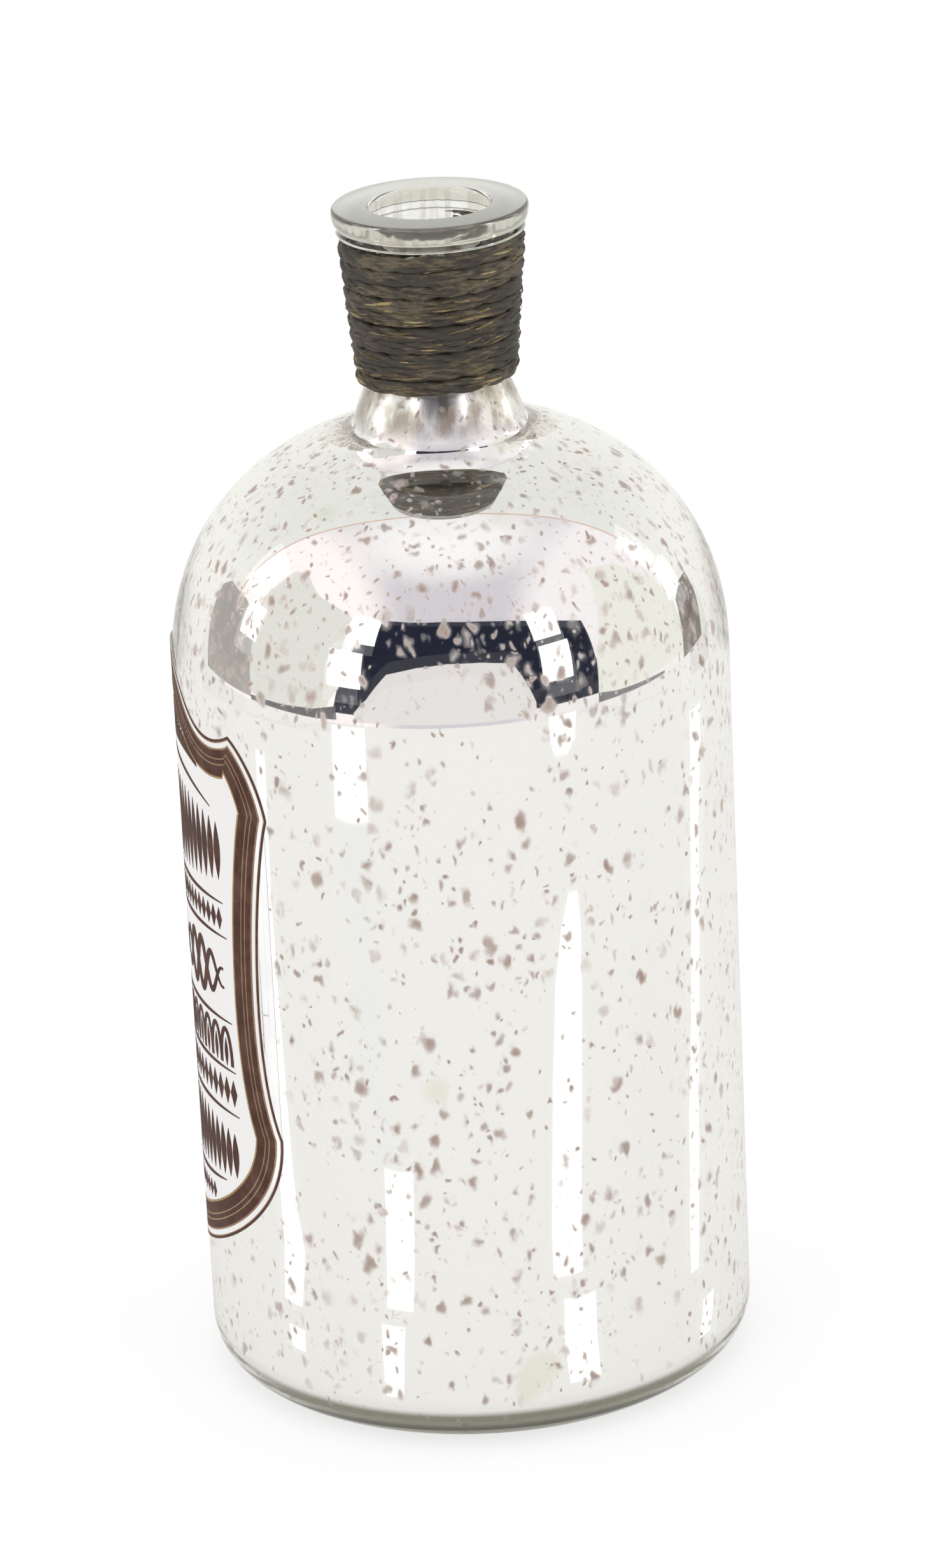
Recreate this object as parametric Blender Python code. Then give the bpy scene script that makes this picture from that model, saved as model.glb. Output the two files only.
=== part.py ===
"""Decorative apothecary bottle: silvered glass, an open mouth, a twine-wrapped neck and a side label.

Metres, +Z up. The origin is the centre of the foot ring, on the surface that the bottle stands on.
The label faces -X, and the view from -Y shows its edge at the left.
"""
import math

import bmesh
import bpy
from mathutils import Vector, kdtree

MM = 0.001

# Glass body, outside
BODY_RADIUS = 76.0 * MM
HEEL_RADIUS = 13.0 * MM
FOOT_RING_WIDTH = 6.0 * MM
PUSH_UP_RISE = 4.0 * MM
WALL_HEIGHT = 203.5 * MM
SHOULDER_RISE = 69.0 * MM
SHOULDER_POWER = 2.18

# Neck, from the shoulder to the ledge under the collar
NECK_JOIN_RADIUS = 25.0 * MM
NECK_BLEND_RISE = 13.8 * MM
NECK_BLEND_SHOULDER_REACH = 1.5 * MM
NECK_BLEND_WAIST_REACH = (4.4 * MM, 8.0 * MM)
WAIST_RADIUS = 18.7 * MM
NECK_TOP_RADIUS = 22.3 * MM
NECK_LENGTH = 40.0 * MM

# Collar and lip
COLLAR_RADIUS = 25.4 * MM
COLLAR_HEIGHT = 2.0 * MM
COLLAR_ROUND = 0.6 * MM
LIP_NOTCH_DEPTH = 0.5 * MM
LIP_RADIUS = 26.4 * MM
LIP_HEIGHT = 5.6 * MM
LIP_EDGE_ROUND = 1.4 * MM

# Glass, inside
GLASS_WALL = 3.5 * MM
INNER_SHOULDER_RISE = 63.0 * MM
INNER_SHOULDER_POWER = 2.4
INNER_NECK_JOIN_RADIUS = 27.0 * MM
INNER_BLEND_WAIST_REACH = (4.2 * MM, 12.5 * MM)
BASE_THICKNESS = 7.0 * MM
INNER_HEEL_RADIUS = 11.0 * MM
BORE_RADIUS = 16.0 * MM
BORE_EDGE_ROUND = 1.8 * MM

# Silver film inside the glass
LINING_CLEARANCE = 0.3 * MM
LINING_THICKNESS = 0.3 * MM
LINING_DROP = 9.0 * MM

# Twine wound on the neck
TWINE_WIDTH = 3.4 * MM
TWINE_THICKNESS = 2.5 * MM
TWINE_TURN_GAP = 0.5 * MM
TWINE_CLEARANCE = 0.3 * MM
TWINE_START_DEGREES = 180.0
TWINE_POINTS_PER_TURN = 24
TWINE_SIDES = 6

# Label on the wall, facing -X
LABEL_WIDTH = 127.0 * MM
LABEL_HEIGHT = 177.0 * MM
LABEL_BOTTOM = 36.0 * MM
LABEL_THICKNESS = 0.3 * MM
LABEL_CLEARANCE = 0.3 * MM
LABEL_FACING_DEGREES = 180.0

# Right half of the label's edge, from its crown down to its foot: each curve is two ends and the two
# handles between them, as shares of the half width and of the height
LABEL_CURVE_SHARES = (
    ((0.00, 1.000), (0.33, 1.000), (0.45, 0.860), (0.78, 0.925)),
    ((0.78, 0.925), (0.86, 0.910), (0.965, 0.865), (1.00, 0.805)),
    ((1.00, 0.805), (0.93, 0.735), (0.80, 0.420), (0.986, 0.280)),
    ((0.986, 0.280), (0.99, 0.120), (0.42, 0.030), (0.00, 0.000)),
)

# Smoothness
ROUND_STEPS = 56
HEEL_STEPS = 5
FLOOR_STEPS = 3
SHOULDER_STEPS = 9
BLEND_STEPS = 7
LIP_STEPS = 4
EDGE_STEPS = 3
LABEL_CURVE_STEPS = 6
SHARP_EDGE_DEGREES = 35.0
WELD_DISTANCE = 0.01 * MM

# Heights and radii that follow
FOOT_RADIUS = BODY_RADIUS - HEEL_RADIUS
PUSH_UP_RADIUS = FOOT_RADIUS - FOOT_RING_WIDTH
INNER_RADIUS = BODY_RADIUS - GLASS_WALL
NOTCH_RADIUS = COLLAR_RADIUS - LIP_NOTCH_DEPTH


def shoulder_height(radius):
    """Height over the wall's top at which the outside of the shoulder has the given radius."""
    share = (radius / BODY_RADIUS) ** SHOULDER_POWER
    return SHOULDER_RISE * (1.0 - share) ** (1.0 / SHOULDER_POWER)


WAIST_HEIGHT = WALL_HEIGHT + shoulder_height(NECK_JOIN_RADIUS) + NECK_BLEND_RISE
LEDGE_HEIGHT = WAIST_HEIGHT + NECK_LENGTH
NOTCH_HEIGHT = LEDGE_HEIGHT + COLLAR_HEIGHT
RIM_HEIGHT = NOTCH_HEIGHT + LIP_HEIGHT


def steps(count):
    """Shares from 0 to 1 in equal steps, both ends included."""
    return [index / count for index in range(count + 1)]


def arc(centre, radii, start_degrees, end_degrees, count):
    """Points of an elliptical arc in the profile's plane."""
    points = []
    for share in steps(count):
        angle = math.radians(start_degrees + (end_degrees - start_degrees) * share)
        points.append((centre[0] + radii[0] * math.cos(angle),
                       centre[1] + radii[1] * math.sin(angle)))
    return points


def bezier(ends_and_handles, count):
    """Points of a cubic curve from its first to its last control point."""
    points = []
    for t in steps(count):
        weights = ((1 - t) ** 3, 3 * t * (1 - t) ** 2, 3 * t ** 2 * (1 - t), t ** 3)
        points.append(tuple(sum(weight * point[axis] for weight, point in zip(weights, ends_and_handles))
                            for axis in (0, 1)))
    return points


def shoulder(body_radius, rise, power, join_radius):
    """Shoulder of a superellipse section, from the wall's top in to the join with the neck."""
    last_angle = math.acos((join_radius / body_radius) ** (power / 2.0))
    points = []
    for share in steps(SHOULDER_STEPS):
        angle = last_angle * share
        points.append((body_radius * math.cos(angle) ** (2.0 / power),
                       WALL_HEIGHT + rise * math.sin(angle) ** (2.0 / power)))
    return points


def neck_blend(shoulder_points, waist_radius, waist_reach):
    """Hollow curve from the shoulder's inner end up to the neck's waist."""
    start = Vector(shoulder_points[-1])
    lead = (start - Vector(shoulder_points[-2])).normalized() * NECK_BLEND_SHOULDER_REACH
    end = Vector((waist_radius, WAIST_HEIGHT))
    handle = end + Vector((waist_reach[0], -waist_reach[1]))
    return bezier((start, start + lead, handle, end), BLEND_STEPS)[1:]


def outside_profile():
    """Glass outside, from the middle of the underside up to the inner edge of the rim's top face."""
    bead_height = RIM_HEIGHT - LIP_EDGE_ROUND
    underside = arc((0.0, 0.0), (PUSH_UP_RADIUS, PUSH_UP_RISE), 90.0, 0.0, FLOOR_STEPS)
    heel = arc((FOOT_RADIUS, HEEL_RADIUS), (HEEL_RADIUS, HEEL_RADIUS), -90.0, 0.0, HEEL_STEPS)
    body = shoulder(BODY_RADIUS, SHOULDER_RISE, SHOULDER_POWER, NECK_JOIN_RADIUS)
    body += neck_blend(body, WAIST_RADIUS, NECK_BLEND_WAIST_REACH)
    ledge = [(NECK_TOP_RADIUS, LEDGE_HEIGHT), (COLLAR_RADIUS - COLLAR_ROUND, LEDGE_HEIGHT),
             (COLLAR_RADIUS, LEDGE_HEIGHT + COLLAR_ROUND)]
    bead = arc((NOTCH_RADIUS, bead_height), (LIP_RADIUS - NOTCH_RADIUS, bead_height - NOTCH_HEIGHT),
               -90.0, 0.0, LIP_STEPS)
    lip_edge = arc((LIP_RADIUS - LIP_EDGE_ROUND, bead_height), (LIP_EDGE_ROUND, LIP_EDGE_ROUND),
                   0.0, 90.0, EDGE_STEPS)
    return underside + heel + body + ledge + bead + lip_edge[1:]


def inside_profile():
    """Glass inside, from the bore's rounded edge down to the middle of the floor."""
    bore_edge = arc((BORE_RADIUS + BORE_EDGE_ROUND, RIM_HEIGHT - BORE_EDGE_ROUND),
                    (BORE_EDGE_ROUND, BORE_EDGE_ROUND), 90.0, 180.0, EDGE_STEPS)
    return bore_edge + cavity_profile()


def cavity_profile():
    """Inner wall below the bore's edge: neck, shoulder, wall, heel and floor."""
    body = shoulder(INNER_RADIUS, INNER_SHOULDER_RISE, INNER_SHOULDER_POWER, INNER_NECK_JOIN_RADIUS)
    body += neck_blend(body, BORE_RADIUS, INNER_BLEND_WAIST_REACH)
    floor_radius = INNER_RADIUS - INNER_HEEL_RADIUS
    heel = arc((floor_radius, BASE_THICKNESS + INNER_HEEL_RADIUS),
               (INNER_HEEL_RADIUS, INNER_HEEL_RADIUS), 0.0, -90.0, HEEL_STEPS)
    floor = arc((0.0, BASE_THICKNESS), (floor_radius, PUSH_UP_RISE), 0.0, 90.0, FLOOR_STEPS)
    return list(reversed(body)) + heel + floor[1:]


def moved_inward(profile, distance):
    """The same line moved off the glass by a distance, square to each stretch of it."""
    moved = []
    last = len(profile) - 1
    for index, point in enumerate(profile):
        normals = []
        for first, second in ((index - 1, index), (index, index + 1)):
            if first >= 0 and second <= last:
                run = (Vector(profile[second]) - Vector(profile[first])).normalized()
                normals.append(Vector((run.y, -run.x)))
        normal = sum(normals, Vector((0.0, 0.0))).normalized()
        reach = distance / normal.dot(normals[0])
        moved.append((max(0.0, point[0] + normal.x * reach), point[1] + normal.y * reach))
    return moved


def material(name, colour, roughness, metallic, transmission=0.0):
    shader_material = bpy.data.materials.new(name)
    shader_material.use_nodes = True
    shader = shader_material.node_tree.nodes["Principled BSDF"]
    shader.inputs["Base Color"].default_value = (*colour, 1.0)
    shader.inputs["Roughness"].default_value = roughness
    shader.inputs["Metallic"].default_value = metallic
    shader.inputs["Transmission Weight"].default_value = transmission
    return shader_material


def add_object(name, data, own_material):
    new_object = bpy.data.objects.new(name, data)
    new_object.data.materials.append(own_material)
    bpy.context.collection.objects.link(new_object)
    return new_object


def add_mesh(name, mesh_builder, own_material):
    """Object from a bmesh whose faces point out, with its round faces shaded smooth."""
    mesh = bpy.data.meshes.new(name)
    mesh_builder.to_mesh(mesh)
    mesh_builder.free()
    mesh.shade_smooth()
    mesh.set_sharp_from_angle(angle=math.radians(SHARP_EDGE_DEGREES))
    return add_object(name, mesh, own_material)


def turned(name, profile, own_material):
    """Solid of revolution about Z from a line of (radius, height) points."""
    mesh_builder = bmesh.new()
    verts = [mesh_builder.verts.new((radius, 0.0, height)) for radius, height in profile]
    edges = [mesh_builder.edges.new(pair) for pair in zip(verts, verts[1:])]
    if profile[0][0] > 0.0:
        edges.append(mesh_builder.edges.new((verts[-1], verts[0])))
    bmesh.ops.spin(mesh_builder, geom=verts + edges, axis=(0.0, 0.0, 1.0), cent=(0.0, 0.0, 0.0),
                   angle=math.tau, steps=ROUND_STEPS, use_merge=True, use_duplicate=False)
    bmesh.ops.remove_doubles(mesh_builder, verts=mesh_builder.verts, dist=WELD_DISTANCE)
    bmesh.ops.recalc_face_normals(mesh_builder, faces=mesh_builder.faces)
    return add_mesh(name, mesh_builder, own_material)


def glass_bottle():
    glass = material("clear_glass", (0.86, 0.88, 0.84), 0.05, 0.0, 1.0)
    return turned("glass_bottle", outside_profile() + inside_profile(), glass)


def silver_lining():
    """Mirror film just inside the glass, from the floor to below the clear rim."""
    silver = material("mottled_silver", (0.90, 0.89, 0.86), 0.12, 1.0)
    film_top = LEDGE_HEIGHT - LINING_DROP
    line = [(BORE_RADIUS, film_top)] + cavity_profile()
    outer = moved_inward(line, LINING_CLEARANCE)
    inner = moved_inward(line, LINING_CLEARANCE + LINING_THICKNESS)
    return turned("silver_lining", list(reversed(outer)) + inner, silver)


def neck_radius(height):
    """Glass radius on the tapered neck, between its waist and its ledge."""
    share = (height - WAIST_HEIGHT) / NECK_LENGTH
    return WAIST_RADIUS + (NECK_TOP_RADIUS - WAIST_RADIUS) * share


def twine_path():
    """Centre line of the winding: a rising helix on the tapered neck, with straight ends."""
    pitch = TWINE_WIDTH + TWINE_TURN_GAP
    first_height = WAIST_HEIGHT + TWINE_WIDTH / 2
    last_height = LEDGE_HEIGHT - TWINE_CLEARANCE - TWINE_WIDTH / 2
    turns = (last_height - first_height) / pitch
    count = round(turns * TWINE_POINTS_PER_TURN)
    # A chord cuts inside its circle, so the points stand out by as much
    chord_ease = 1.0 / math.cos(math.pi / TWINE_POINTS_PER_TURN)
    points = []
    for share in steps(count):
        height = first_height + (last_height - first_height) * share
        angle = math.radians(TWINE_START_DEGREES) + math.tau * turns * share
        radius = (neck_radius(height) + TWINE_CLEARANCE + TWINE_THICKNESS / 2) * chord_ease
        points.append(Vector((radius * math.cos(angle), radius * math.sin(angle), height)))
    for end, before in ((0, 1), (-1, -2)):
        run = points[end] - points[before]
        outward = Vector((points[end].x, points[end].y, 0.0)).normalized()
        straight = Vector((run.x, run.y, 0.0))
        straight = (straight - outward * straight.dot(outward)).normalized() * TWINE_WIDTH
        tail = points[end] + straight
        points.insert(0 if end == 0 else len(points), tail)
    return points


def twine_section():
    """Six-sided section of the twine, pressed flat against the glass and at its outer face."""
    flat_ease = 1.0 / math.cos(math.pi / TWINE_SIDES)
    curve = bpy.data.curves.new("twine_section", "CURVE")
    spline = curve.splines.new("POLY")
    spline.points.add(TWINE_SIDES - 1)
    spline.use_cyclic_u = True
    for index, point in enumerate(spline.points):
        angle = -math.tau * (index + 0.5) / TWINE_SIDES
        point.co = (TWINE_THICKNESS / 2 * flat_ease * math.cos(angle), TWINE_WIDTH / 2 * math.sin(angle),
                    0.0, 1.0)
    section = bpy.data.objects.new("twine_section", curve)
    section.hide_render = True
    section.display_type = "WIRE"
    bpy.context.collection.objects.link(section)
    return section


def least_twine_gap(path):
    """Least gap of the twine to itself, between points of its path half a turn or more apart."""
    tree = kdtree.KDTree(len(path))
    for index, place in enumerate(path):
        tree.insert(place, index)
    tree.balance()
    half_turn = TWINE_POINTS_PER_TURN // 2
    reach = 2 * (TWINE_WIDTH + TWINE_TURN_GAP)
    return min(distance for index, place in enumerate(path)
               for _, other, distance in tree.find_range(place, reach)
               if abs(index - other) >= half_turn) - TWINE_WIDTH


def neck_twine():
    twine = material("dark_twine", (0.10, 0.08, 0.06), 0.85, 0.0)
    path = twine_path()
    print(f"least gap of the twine to itself: {least_twine_gap(path) / MM:.2f} mm")
    curve = bpy.data.curves.new("neck_twine", "CURVE")
    curve.dimensions = "3D"
    curve.twist_mode = "Z_UP"
    curve.bevel_mode = "OBJECT"
    curve.bevel_object = twine_section()
    curve.use_fill_caps = True
    spline = curve.splines.new("POLY")
    spline.points.add(len(path) - 1)
    for point, place in zip(spline.points, path):
        point.co = (*place, 1.0)
    spline.use_smooth = True
    return add_object("neck_twine", curve, twine)


def label_outline():
    """Edge of the label laid flat: across and up, anticlockwise from the foot of its middle."""
    half_width = LABEL_WIDTH / 2
    right = []
    for curve_shares in LABEL_CURVE_SHARES:
        shares = bezier(curve_shares, LABEL_CURVE_STEPS)[:-1]
        right += [(across * half_width, LABEL_BOTTOM + up * LABEL_HEIGHT) for across, up in shares]
    crown = right[0]
    foot = (0.0, LABEL_BOTTOM)
    left = [(-across, up) for across, up in right[1:]]
    return [foot] + list(reversed(right[1:])) + [crown] + left


def label_decal():
    """Thin printed film, bent round the wall in the same facets as the glass."""
    mesh_builder = bmesh.new()
    outline = [mesh_builder.verts.new((across, 0.0, up)) for across, up in label_outline()]
    front = mesh_builder.faces.new(outline)
    extruded = bmesh.ops.extrude_face_region(mesh_builder, geom=[front])["geom"]
    for element in extruded:
        if isinstance(element, bmesh.types.BMVert):
            element.co.y = LABEL_THICKNESS
    bmesh.ops.triangulate(mesh_builder, faces=mesh_builder.faces)
    facet = math.tau / ROUND_STEPS
    facet_width = facet * BODY_RADIUS
    bends = math.floor(LABEL_WIDTH / 2 / facet_width)
    for bend in range(-bends, bends + 1):
        geometry = mesh_builder.verts[:] + mesh_builder.edges[:] + mesh_builder.faces[:]
        bmesh.ops.bisect_plane(mesh_builder, geom=geometry, dist=WELD_DISTANCE,
                               plane_co=(bend * facet_width, 0.0, 0.0), plane_no=(1.0, 0.0, 0.0))
    bmesh.ops.recalc_face_normals(mesh_builder, faces=mesh_builder.faces)
    middle = math.radians(LABEL_FACING_DEGREES)
    for vert in mesh_builder.verts:
        angle = middle - vert.co.x / BODY_RADIUS
        radius = BODY_RADIUS + LABEL_CLEARANCE + vert.co.y
        vert.co = (radius * math.cos(angle), radius * math.sin(angle), vert.co.z)
    film = material("printed_film", (0.30, 0.20, 0.15), 0.35, 0.0)
    return add_mesh("label_decal", mesh_builder, film)


def main():
    for old_object in list(bpy.data.objects):
        bpy.data.objects.remove(old_object, do_unlink=True)
    glass_bottle()
    silver_lining()
    neck_twine()
    label_decal()


main()
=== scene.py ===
"""Decorative silvered glass bottle: its finish, twine, label print and studio.

Metres, +Z up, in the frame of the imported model. The camera looks along +Y and down, and the label faces -X.
"""
import math
import random

import bmesh
import bpy
from mathutils import Matrix, Vector, noise

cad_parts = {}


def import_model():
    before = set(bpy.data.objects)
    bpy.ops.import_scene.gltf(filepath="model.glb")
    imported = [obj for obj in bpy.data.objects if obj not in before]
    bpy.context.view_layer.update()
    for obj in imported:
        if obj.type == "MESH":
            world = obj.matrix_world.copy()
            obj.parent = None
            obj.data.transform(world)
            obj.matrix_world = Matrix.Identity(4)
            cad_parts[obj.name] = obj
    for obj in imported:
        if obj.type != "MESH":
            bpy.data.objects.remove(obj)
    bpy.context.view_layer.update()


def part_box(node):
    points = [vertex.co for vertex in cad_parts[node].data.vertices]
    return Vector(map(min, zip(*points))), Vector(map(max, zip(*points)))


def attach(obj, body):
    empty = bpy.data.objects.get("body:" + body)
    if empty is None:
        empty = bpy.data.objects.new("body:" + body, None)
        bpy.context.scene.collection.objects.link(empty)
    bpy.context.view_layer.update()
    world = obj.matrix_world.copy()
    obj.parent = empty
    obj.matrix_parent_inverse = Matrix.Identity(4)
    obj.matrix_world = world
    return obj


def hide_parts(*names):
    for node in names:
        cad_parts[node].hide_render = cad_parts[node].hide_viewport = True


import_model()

MM = 0.001

# Glass outside: as packed, but for a softer root of the neck
GLASS_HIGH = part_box("glass_bottle")[1]
BODY_RADIUS = GLASS_HIGH.x
RIM_HEIGHT = GLASS_HIGH.z
HEEL_RADIUS = 13.0 * MM
FOOT_RING_WIDTH = 6.0 * MM
PUSH_UP_RISE = 4.0 * MM
WALL_HEIGHT = 203.5 * MM
SHOULDER_RISE = 69.0 * MM
SHOULDER_POWER = 2.18
NECK_JOIN_RADIUS = 25.6 * MM
NECK_BLEND_LEAD = 3.2 * MM
NECK_BLEND_HANDLE = (4.6 * MM, 9.2 * MM)
WAIST_RADIUS = 18.7 * MM
NECK_TOP_RADIUS = 22.3 * MM
NECK_LENGTH = 40.0 * MM
COLLAR_RADIUS = 25.4 * MM
COLLAR_HEIGHT = 2.0 * MM
COLLAR_ROUND = 0.6 * MM
NOTCH_RADIUS = 24.9 * MM
LIP_RADIUS = 26.4 * MM
LIP_HEIGHT = 5.6 * MM
LIP_EDGE_ROUND = 1.4 * MM
NOTCH_HEIGHT = RIM_HEIGHT - LIP_HEIGHT
LEDGE_HEIGHT = NOTCH_HEIGHT - COLLAR_HEIGHT
WAIST_HEIGHT = LEDGE_HEIGHT - NECK_LENGTH

# Glass inside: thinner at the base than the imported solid, and rounder under the neck
GLASS_WALL = 3.5 * MM
INNER_SHOULDER_RISE = 63.0 * MM
INNER_SHOULDER_POWER = 2.4
INNER_NECK_JOIN_RADIUS = 33.5 * MM
INNER_BLEND_LEAD = 9.1 * MM
INNER_BLEND_HANDLE = (4.9 * MM, 13.2 * MM)
BASE_THICKNESS = 4.0 * MM
INNER_HEEL_RADIUS = 9.5 * MM
BORE_RADIUS = 16.0 * MM
BORE_EDGE_ROUND = 1.8 * MM

# Film, sunk a hair into the glass that it is bonded to, with a ragged top
FILM_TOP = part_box("silver_lining")[1].z
FILM_SINK = 0.05 * MM
FILM_THICKNESS = 0.3 * MM
FILM_TOP_FADE = 6.0 * MM
FILM_TOP_STEPS = 6
FILM_TOP_WAVE = 0.5 * MM
FILM_TOP_WAVE_SIZE = 6.0 * MM

# Where the glass changes its tone, and where the film turns dull: from, to
FOOT_TINT_HEIGHTS = (4.5 * MM, 8.0 * MM)
BORE_TINT_RADII = (BORE_RADIUS + 0.2 * MM, BORE_RADIUS + 0.8 * MM)
LIP_TINT_HEIGHTS = (NOTCH_HEIGHT - 0.4 * MM, NOTCH_HEIGHT + 0.6 * MM)
LIP_TINT_RADII = (BORE_RADIUS + 2.0 * MM, BORE_RADIUS + 6.0 * MM)
GROUND_TOP_HEIGHTS = (RIM_HEIGHT - 0.5 * MM, RIM_HEIGHT - 0.05 * MM)
# Painted shade on the ground top: full at the first depth, towards the camera, and gone at the second
GROUND_TOP_SHADE_DEPTHS = (-22.0 * MM, 8.0 * MM)
DULL_FILM_HEIGHTS = (269.0 * MM, 275.0 * MM)

# Specks by height: from, to, and how crowded they are below and above
HEIGHT_CROWDS = ((6.0 * MM, 24.0 * MM, 0.3, 1.0), (200.0 * MM, 222.0 * MM, 1.0, 1.9))

# Specks: cells to the metre, the largest speck as a share of its cell, and the share of cells with one
SPECK_KINDS = ((120.0, 0.28, 0.28), (205.0, 0.45, 1.0), (400.0, 0.42, 0.7))
SPECK_STRETCH = (1.0, 1.0, 0.72)
SPECK_SLANT_DEGREES = -32.0

# Size of the smallest speck and tone of the palest, as shares of the largest and the darkest
SPECK_SMALLEST = 0.35
SPECK_PALEST = 0.35

# Where a speck is darkest and where it ends, as shares of its radius, and its fade to its cell's edge
SPECK_CORE = 0.2
SPECK_RIM = 1.3
SPECK_EDGE_FADE = 0.24

# How far the specks are bent out of round, and how finely
SPECK_BEND = 4.0 * MM
SPECK_BEND_SCALE = 300.0
SPECK_BEND_DETAIL = 1.2

# Twine's path, and its plies
TWINE_PITCH = 3.86 * MM
TWINE_LEFT_HEIGHT = 284.6 * MM
TWINE_TURNS = (-0.3, 9.7)
TWINE_STEPS_PER_TURN = 60
TWINE_SEAT = 1.55 * MM
TWINE_LAY = 27.0 * MM
TWINE_PLIES = 3
PLY_SIDES = 10
PLY_RADIUS = 1.24 * MM
PLY_SPREAD_ALONG = 1.0 * MM
PLY_SPREAD_OUT = 0.34 * MM
PLY_END_SHARE = 0.35
PLY_END_SLOPE = 40.0

# Unevenness of the twine: how far, and at how many noise cells to the turn
TWINE_WANDER = 0.55 * MM
TWINE_WANDER_RATE = 1.3
TWIST_WANDER = 0.9
TWIST_WANDER_RATE = 2.1
PLY_SWELL = 0.24
PLY_SWELL_RATE = 6.0

# Loose fibres: how many, the ranges that each is drawn from, and their lie on the twine
DARK_FIBRES = 260
GOLD_FIBRES = 330
FIBRE_SPREAD = 1.3 * MM
FIBRE_LENGTHS = (2.5 * MM, 10.0 * MM)
FIBRE_SLANTS = (-0.06, 0.17)
FIBRE_RADII = (0.14 * MM, 0.38 * MM)
FIBRE_CROWN = 2.1 * MM
FIBRE_LIFT = 0.25 * MM
FIBRE_FLATNESS = 0.7
FIBRE_SIDES = 6
FIBRE_STEPS = 9

# Colours of the twine and its fibres: dark, light, and where light begins
TWINE_TONES = {
    "dark_twine": ((0.056, 0.049, 0.039), (0.150, 0.120, 0.078), 0.49),
    "dark_fibre": ((0.054, 0.048, 0.040), (0.130, 0.107, 0.076), 0.50),
    "tan_fibre": ((0.095, 0.070, 0.040), (0.20, 0.150, 0.085), 0.48),
    "gold_fibre": ((0.17, 0.125, 0.055), (0.41, 0.31, 0.15), 0.46),
}

# Label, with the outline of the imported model
LABEL_WIDTH = 127.0 * MM
LABEL_HEIGHT = 177.0 * MM
LABEL_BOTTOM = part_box("label_decal")[0].z
LABEL_CURVE_SHARES = (
    ((0.00, 1.000), (0.33, 1.000), (0.45, 0.860), (0.78, 0.925)),
    ((0.78, 0.925), (0.86, 0.910), (0.965, 0.865), (1.00, 0.805)),
    ((1.00, 0.805), (0.93, 0.735), (0.80, 0.420), (0.986, 0.280)),
    ((0.986, 0.280), (0.99, 0.120), (0.42, 0.030), (0.00, 0.000)),
)
LABEL_CURVE_STEPS = 28
LABEL_LIFT = 0.12 * MM
PRINT_LIFT = 0.20 * MM
GOLD_LIFT = 0.24 * MM
LABEL_STRIP = 2.5 * MM
RULE_MM = 1.3
STEM_MM = 0.7
LEAF_STEPS = 10
RULE_STEPS = 24
ARCH_STEPS = 16
WAVE_STEPS = 60
WAVE_PERIODS = 2.5

# Bands of the label's border: how far inside the edge each starts and ends, in millimetres, and its ink
BORDER_BANDS = (
    ("brown", 0.1, 0.8),
    ("tan", 0.8, 1.1),
    ("tan", 2.6, 3.1),
    ("brown", 3.1, 5.3),
    ("tan", 5.3, 5.7),
    ("brown", 5.7, 6.9),
    ("tan", 6.9, 7.3),
    ("brown", 7.3, 10.4),
    ("gold", 10.4, 11.0),
)

# Inks: dark and light colour, metallic and roughness
INKS = {
    "brown": ((0.072, 0.034, 0.025), (0.125, 0.068, 0.052), 0.0, 0.5),
    "gold": ((0.34, 0.22, 0.10), (0.46, 0.32, 0.16), 0.4, 0.4),
    "tan": ((0.27, 0.165, 0.10), (0.37, 0.25, 0.16), 0.2, 0.4),
}

# Mesh density
ROUND_SEGMENTS = 192
WALL_STEPS = 72
SHOULDER_STEPS = 36
BLEND_STEPS = 16
ARC_STEPS = 10
SHARP_DEGREES = 40.0

# Blown glass is never quite true
WAVE_SIZE = 60.0 * MM
WAVE_DEPTH = 0.05 * MM
RIPPLE_SIZE = 19.0 * MM
RIPPLE_DEPTH = 0.014 * MM
RIPPLE_OFFSET = Vector((5.0, 2.0, 9.0))

# Camera: the photograph's viewing angle
CAMERA_PITCH = 20.5
CAMERA_ROLL = -2.7
CAMERA_YAW = 0.17
CAMERA_DISTANCE = 1.597
CAMERA_HEIGHT = 0.7626
CAMERA_LENS = 142.4
SENSOR_HEIGHT = 36.0
CAMERA_FAR = 100.0


def steps(count):
    """Even shares from 0 to 1."""
    return [index / count for index in range(count + 1)]


def arc(centre, radii, start_degrees, end_degrees, count=ARC_STEPS):
    """Points of an ellipse about a centre, from one angle to another."""
    points = []
    for share in steps(count):
        angle = math.radians(start_degrees + (end_degrees - start_degrees) * share)
        points.append((centre[0] + radii[0] * math.cos(angle), centre[1] + radii[1] * math.sin(angle)))
    return points


def bezier(controls, count):
    """Points of a cubic curve, even in its parameter."""
    points = []
    for t in steps(count):
        weights = ((1 - t) ** 3, 3 * t * (1 - t) ** 2, 3 * t ** 2 * (1 - t), t ** 3)
        points.append(tuple(sum(w * p[axis] for w, p in zip(weights, controls)) for axis in (0, 1)))
    return points


def swell(share, least, blunt=0.0):
    """Share of a width: least at both ends and 1 midway, with a level stretch at blunt ends."""
    return least + (1.0 - least) * math.sin(math.pi * min(1.0 - blunt, max(blunt, share)))


def shoulder(body_radius, rise, power, join_radius):
    """Superellipse shoulder, from the wall's top in to the join with the neck."""
    last_angle = math.acos((join_radius / body_radius) ** (power / 2.0))
    points = []
    for share in steps(SHOULDER_STEPS):
        angle = last_angle * share
        points.append((body_radius * math.cos(angle) ** (2.0 / power),
                       WALL_HEIGHT + rise * math.sin(angle) ** (2.0 / power)))
    return points


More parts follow.
